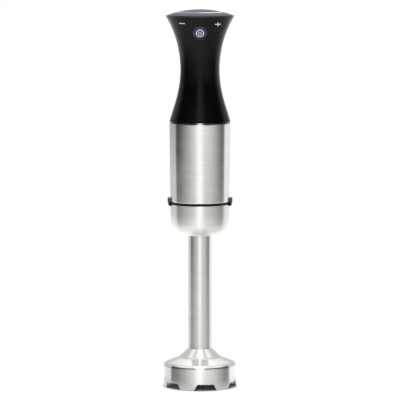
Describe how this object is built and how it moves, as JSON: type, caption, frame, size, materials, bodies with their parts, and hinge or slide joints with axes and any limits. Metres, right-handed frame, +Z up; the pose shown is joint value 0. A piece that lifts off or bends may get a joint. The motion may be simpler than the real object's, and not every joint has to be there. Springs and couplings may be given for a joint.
{
  "type": "hand blender",
  "caption": "Immersion hand blender: waisted black grip with lit controls, brushed steel motor housing that lifts off, steel shaft and a bell foot with a notched rim round the cutter.",
  "frame": {"origin": "on the axis of the blender, in the plane of the foot's rim that it stands on", "axes": "+Z up along the axis of the shaft, controls facing -Y, release buttons on -X and +X"},
  "size_m": [0.076, 0.076, 0.3951],
  "materials": {
    "polished_steel": "polished",
    "brushed_steel": "brushed round the axis",
    "stainless_steel": "plain",
    "satin_black_plastic": "satin",
    "gloss_black_plastic": "gloss",
    "black_plastic": "matt",
    "dark_grey_plastic": "satin",
    "blue_light_plastic": "translucent, lit from behind",
    "satin_metal": "satin",
    "black_rubber": "matt",
    "bronze": "plain",
    "copper": "plain",
    "lamination_steel": "plain",
    "carbon": "matt",
    "circuit_board": "satin",
    "white_plastic": "gloss"
  },
  "bodies": {
    "blending_foot": {"bell_guard": "polished_steel", "shaft_tube": "brushed_steel", "bearing_carrier": "black_plastic", "lower_bush": "bronze", "shaft_seal": "black_rubber", "seal_cap": "stainless_steel", "coupling_cup": "brushed_steel", "coupling_neck": "black_plastic", "upper_bush": "bronze"},
    "cutter": {"drive_shaft": "stainless_steel", "blade": "stainless_steel", "blade_spacer": "stainless_steel", "blade_nut": "stainless_steel", "shaft_collar": "stainless_steel", "driven_coupling": "black_plastic"},
    "rotor": {"motor_shaft": "stainless_steel", "armature_core": "lamination_steel", "armature_windings": "copper", "commutator": "copper", "cooling_fan": "black_plastic", "drive_socket": "black_plastic"},
    "release_button_left": {"release_button_left": "dark_grey_plastic"},
    "release_button_right": {"release_button_right": "dark_grey_plastic"},
    "power_button": {"power_button": "satin_metal"},
    "motor_unit": {"latch_cover": "black_plastic", "cover_screws": "stainless_steel", "latch_housing": "black_plastic", "release_spring_right": "stainless_steel", "release_spring_left": "stainless_steel", "housing_sleeve": "brushed_steel", "motor_frame": "black_plastic", "lower_bearing": "stainless_steel", "upper_bearing": "stainless_steel", "stator_core": "lamination_steel", "field_coils": "copper", "brush_bracket": "black_plastic", "brush_holders": "copper", "carbon_brushes": "carbon", "light_band": "blue_light_plastic", "driver_board": "circuit_board", "band_leds": "white_plastic", "suppressor_capacitor": "black_plastic", "terminal_block": "black_plastic", "grip_shell": "satin_black_plastic", "top_cap": "gloss_black_plastic", "top_light_ring": "blue_light_plastic", "top_light_board": "circuit_board", "power_light_ring": "blue_light_plastic", "button_guide": "black_plastic", "power_switch": "black_plastic", "control_board": "circuit_board", "board_screws": "stainless_steel", "touch_pads": "copper", "cord_gland": "black_rubber"}
  },
  "joints": [
    {"name": "motor_unit_lift", "type": "slide", "parent": "blending_foot", "child": "motor_unit", "axis": [0, 0, 1], "range_m": [0, 0.05]},
    {"name": "rotor_spin", "type": "hinge", "parent": "motor_unit", "child": "rotor", "pos_m": [0, 0, 0.23256], "axis": [0, 0, 1], "continuous": true},
    {"name": "cutter_spin", "type": "hinge", "parent": "blending_foot", "child": "cutter", "pos_m": [0, 0, 0.011], "axis": [0, 0, 1], "continuous": true},
    {"name": "release_left_press", "type": "slide", "parent": "motor_unit", "child": "release_button_left", "axis": [1, 0, 0], "range_m": [0, 0.0015], "stiffness_N_per_m": 1500, "deforming": ["release_spring_left"]},
    {"name": "release_right_press", "type": "slide", "parent": "motor_unit", "child": "release_button_right", "axis": [-1, 0, 0], "range_m": [0, 0.0015], "stiffness_N_per_m": 1500, "deforming": ["release_spring_right"]},
    {"name": "power_press", "type": "slide", "parent": "motor_unit", "child": "power_button", "axis": [0, 0.9328, 0.3604], "range_m": [0, 0.001], "stiffness_N_per_m": 900}
  ],
  "couplings": [
    {"joint": "cutter_spin", "follows": "rotor_spin", "ratio": 1}
  ]
}
